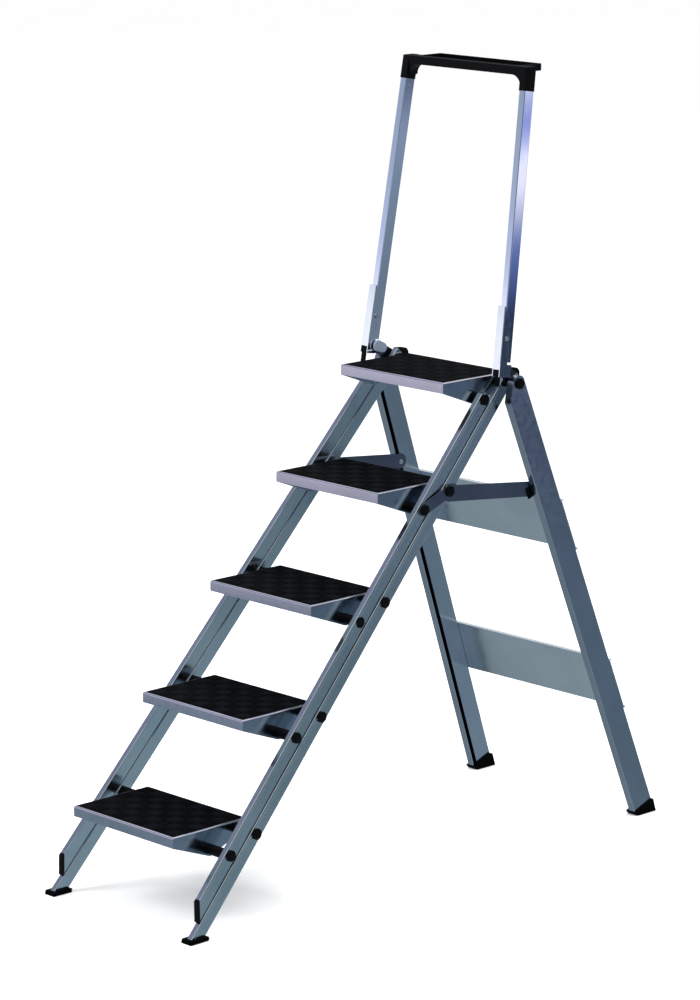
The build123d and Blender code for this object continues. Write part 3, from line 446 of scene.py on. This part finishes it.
# ------------------------------------------------------------------ studio
def make_floor():
    """Plain pale floor, out to where the backdrop takes over."""
    bm = bmesh.new()
    bmesh.ops.create_circle(bm, cap_ends=True, radius=40.0, segments=96)
    mesh = bpy.data.meshes.new("studio_floor")
    bm.to_mesh(mesh)
    bm.free()
    material, tree, shader = new_material("studio_floor")
    place = add_node(tree, "ShaderNodeTexCoord")
    noise = add_node(tree, "ShaderNodeTexNoise", {"Scale": 3.0})
    tree.links.new(place.outputs["Object"], noise.inputs["Vector"])
    tone = ramp(tree, noise.outputs["Fac"],
                [(0.3, (0.980, 0.980, 0.982)), (0.7, (0.988, 0.988, 0.988))])
    tree.links.new(tone.outputs["Color"], shader.inputs["Base Color"])
    shader.inputs["Roughness"].default_value = 0.9
    shader.inputs["Specular IOR Level"].default_value = 0.0
    mesh.materials.append(material)
    floor = bpy.data.objects.new("studio_floor", mesh)
    floor.location.z = -0.0005
    floor.visible_glossy = False
    bpy.context.scene.collection.objects.link(floor)


# Colour of the studio as polished metal sees it, by the height of the direction that it
# reflects, which is that direction's Z plus a half.
STUDIO_FRONT = [
    (0.0, (0.30, 0.36, 0.40)), (0.20, (0.17, 0.25, 0.30)), (0.25, (0.22, 0.27, 0.34)),
    (0.30, (0.58, 0.56, 0.65)), (0.34, (0.66, 0.64, 0.73)), (0.42, (0.95, 0.94, 1.0)),
    (0.545, (1.15, 1.2, 1.25)), (0.560, (0.60, 0.68, 0.88)), (0.580, (0.42, 0.50, 0.64)),
    (0.620, (0.30, 0.40, 0.48)), (0.80, (0.30, 0.32, 0.42)), (1.0, (0.32, 0.33, 0.48)),
]
STUDIO_REAR = [
    (0.0, (0.40, 0.48, 0.56)), (0.15, (0.40, 0.50, 0.60)), (0.20, (0.27, 0.38, 0.44)),
    (0.25, (0.20, 0.26, 0.32)), (0.285, (0.17, 0.23, 0.29)), (0.310, (0.20, 0.28, 0.36)),
    (0.326, (0.27, 0.34, 0.46)), (0.340, (0.10, 0.13, 0.20)), (0.360, (0.05, 0.07, 0.12)),
    (0.383, (0.02, 0.035, 0.055)), (0.393, (0.07, 0.11, 0.28)), (0.404, (0.15, 0.22, 0.50)),
    (0.412, (0.60, 0.65, 0.80)), (0.420, (1.10, 1.10, 1.20)), (0.4265, (1.0, 1.05, 1.2)),
    (0.431, (0.33, 0.40, 0.82)), (0.438, (0.30, 0.36, 0.78)), (0.446, (0.85, 0.90, 1.0)),
    (0.46, (0.30, 0.32, 0.40)), (0.55, (0.12, 0.13, 0.15)), (0.85, (0.15, 0.16, 0.18)),
    (1.0, (0.90, 0.92, 0.95)),
]


def make_world():
    """White backdrop and light; metal reflects a dark room to the rear and panels in front."""
    world = bpy.data.worlds.new("studio")
    bpy.context.scene.world = world
    world.use_nodes = True
    tree = world.node_tree
    tree.nodes.clear()
    place = add_node(tree, "ShaderNodeTexCoord")
    split = add_node(tree, "ShaderNodeSeparateXYZ")
    tree.links.new(place.outputs["Generated"], split.inputs["Vector"])
    total = add_node(tree, "ShaderNodeMath", operation="ADD")
    tree.links.new(split.outputs["X"], total.inputs[0])
    tree.links.new(split.outputs["Y"], total.inputs[1])
    side = add_node(tree, "ShaderNodeMapRange", {"From Min": -0.82, "From Max": -0.62},
                    interpolation_type="SMOOTHSTEP")
    tree.links.new(total.outputs[0], side.inputs["Value"])
    height = add_node(tree, "ShaderNodeMapRange", {"From Min": -0.5, "From Max": 0.5})
    tree.links.new(split.outputs["Z"], height.inputs["Value"])
    front = ramp(tree, height.outputs["Result"], STUDIO_FRONT)
    rear = ramp(tree, height.outputs["Result"], STUDIO_REAR)
    tone = add_node(tree, "ShaderNodeMix", data_type="RGBA")
    tree.links.new(side.outputs["Result"], tone.inputs[0])
    tree.links.new(front.outputs["Color"], tone.inputs[6])
    tree.links.new(rear.outputs["Color"], tone.inputs[7])
    white = add_node(tree, "ShaderNodeBackground", {"Color": (1, 1, 1, 1), "Strength": 1.0})
    room = add_node(tree, "ShaderNodeBackground", {"Strength": 1.0})
    tree.links.new(tone.outputs[2], room.inputs["Color"])
    path = add_node(tree, "ShaderNodeLightPath")
    mix = add_node(tree, "ShaderNodeMixShader")
    out = add_node(tree, "ShaderNodeOutputWorld")
    tree.links.new(path.outputs["Is Glossy Ray"], mix.inputs[0])
    tree.links.new(white.outputs[0], mix.inputs[1])
    tree.links.new(room.outputs[0], mix.inputs[2])
    tree.links.new(mix.outputs[0], out.inputs["Surface"])


def area_light(name, place, target, size, power):
    """Soft white rectangular light aimed at a point."""
    data = bpy.data.lights.new(name, "AREA")
    data.shape = "RECTANGLE"
    data.size, data.size_y = size
    data.energy = power
    light = bpy.data.objects.new(name, data)
    light.location = place
    light.rotation_euler = (Vector(target) - Vector(place)).to_track_quat("-Z", "Y").to_euler()
    light.visible_glossy = False
    bpy.context.scene.collection.objects.link(light)


CAMERA_PLACE = (6.4075, -6.1969, 2.8541)
CAMERA_TURN = (46.041, 12.499)   # degrees round from -Y towards +X, and downwards


def make_camera():
    """Camera at the photograph's angle."""
    azimuth, height = (radians(angle) for angle in CAMERA_TURN)
    look = Vector((-cos(height) * sin(azimuth), cos(height) * cos(azimuth), -sin(height)))
    data = bpy.data.cameras.new("camera")
    data.sensor_width = 36.0
    data.lens = 136.53
    data.clip_end = 200.0
    camera = bpy.data.objects.new("camera", data)
    camera.location = CAMERA_PLACE
    camera.rotation_euler = look.to_track_quat("-Z", "Y").to_euler()
    bpy.context.scene.collection.objects.link(camera)
    bpy.context.scene.camera = camera


make_floor()
make_world()
area_light("key", (-2.5, -4.5, 5.0), (0, 0, 0.8), (3.0, 3.0), 260)
area_light("top", (0.5, 0.5, 5.5), (0, 0, 0), (4.0, 4.0), 220)
make_camera()
bpy.context.scene.view_settings.view_transform = "Standard"
